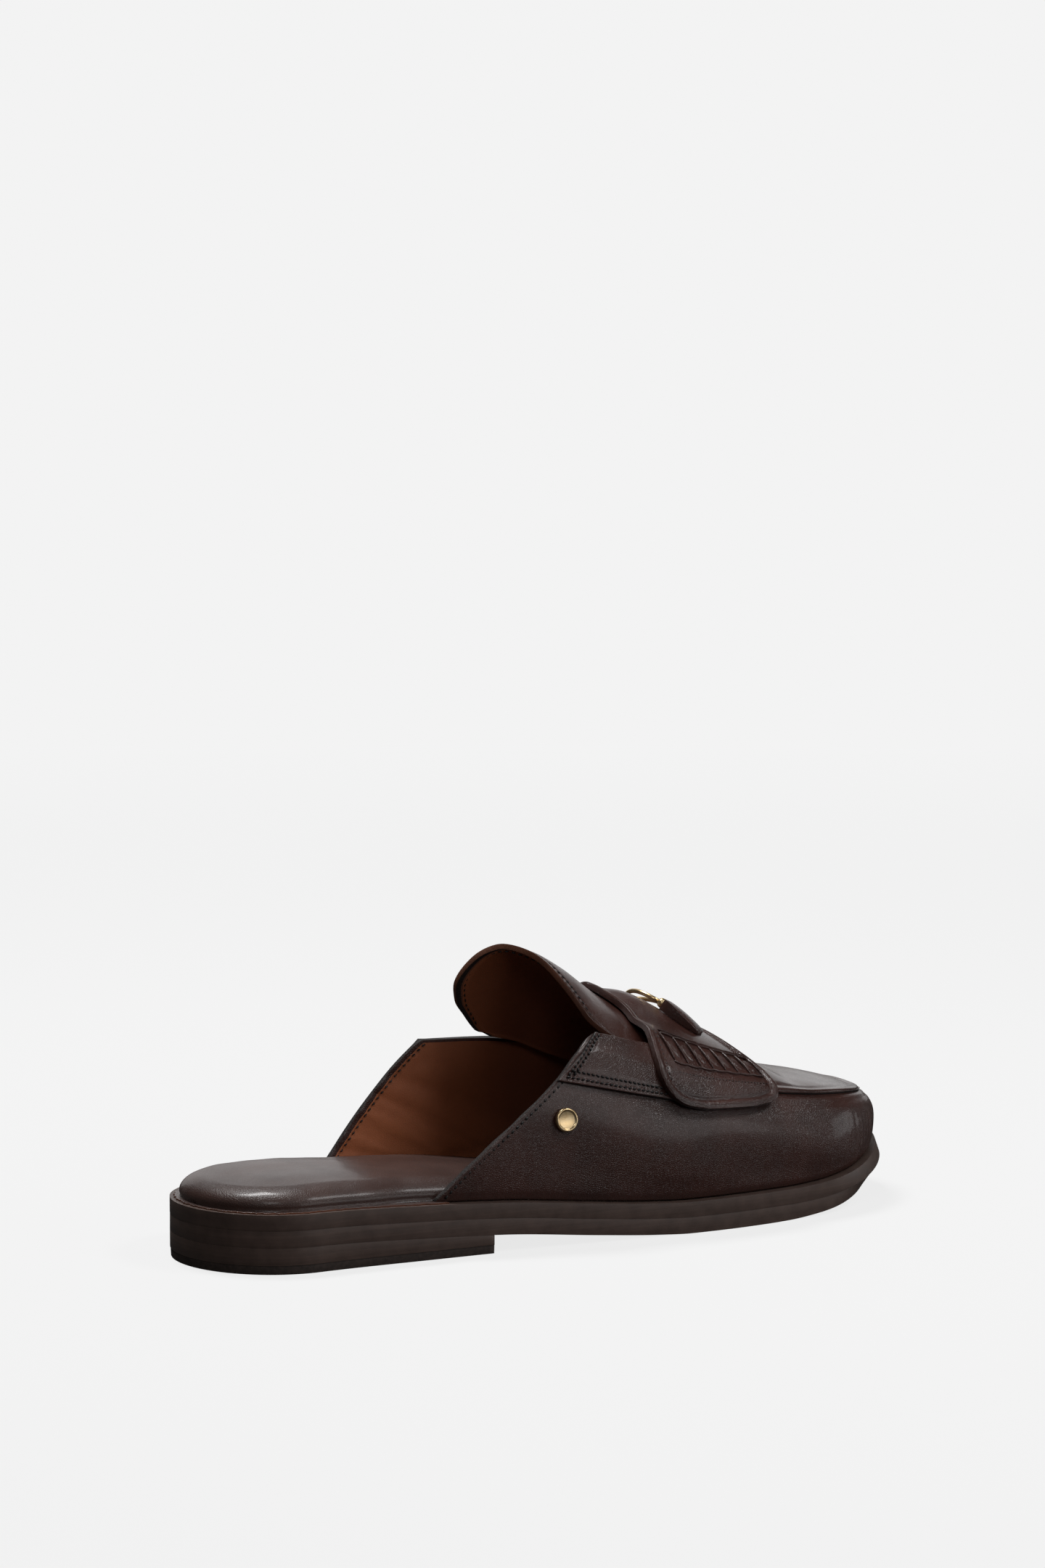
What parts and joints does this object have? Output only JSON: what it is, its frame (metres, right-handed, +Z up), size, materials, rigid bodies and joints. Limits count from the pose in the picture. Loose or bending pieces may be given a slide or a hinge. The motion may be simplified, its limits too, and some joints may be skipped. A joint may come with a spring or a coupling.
{
  "type": "backless loafer",
  "caption": "Right-foot backless leather loafer with a low heel, padded insole, moccasin toe, saddle strap with a small gold bar, and a side stud.",
  "frame": {"origin": "middle of the shoe's bounding box at floor level", "axes": "+X from the heel to the toe, +Y to the medial side, +Z up"},
  "size_m": [0.268, 0.094, 0.0919],
  "materials": {
    "brown_leather": "polished, fine grain, very dark brown",
    "insole_leather": "soft, satin, dark brown, over padding",
    "sole_leather": "stained and burnished edge, dark brown",
    "lift_rubber": "matt, finely ridged edge",
    "gold_metal": "polished, pale gold"
  },
  "bodies": {
    "root": {"upper": "brown_leather", "tongue": "brown_leather", "collar_panel_lateral": "brown_leather", "collar_panel_medial": "brown_leather", "saddle_strap": "brown_leather", "lacing_lateral": "brown_leather", "lacing_medial": "brown_leather", "keeper_tab_lateral": "brown_leather", "keeper_tab_medial": "brown_leather", "insole": "insole_leather", "outsole": "sole_leather", "midsole": "sole_leather", "heel_block": "sole_leather", "heel_top_lift": "lift_rubber", "snaffle_link": "gold_metal", "snaffle_end_lateral": "gold_metal", "snaffle_end_medial": "gold_metal", "side_stud": "gold_metal"}
  },
  "joints": []
}
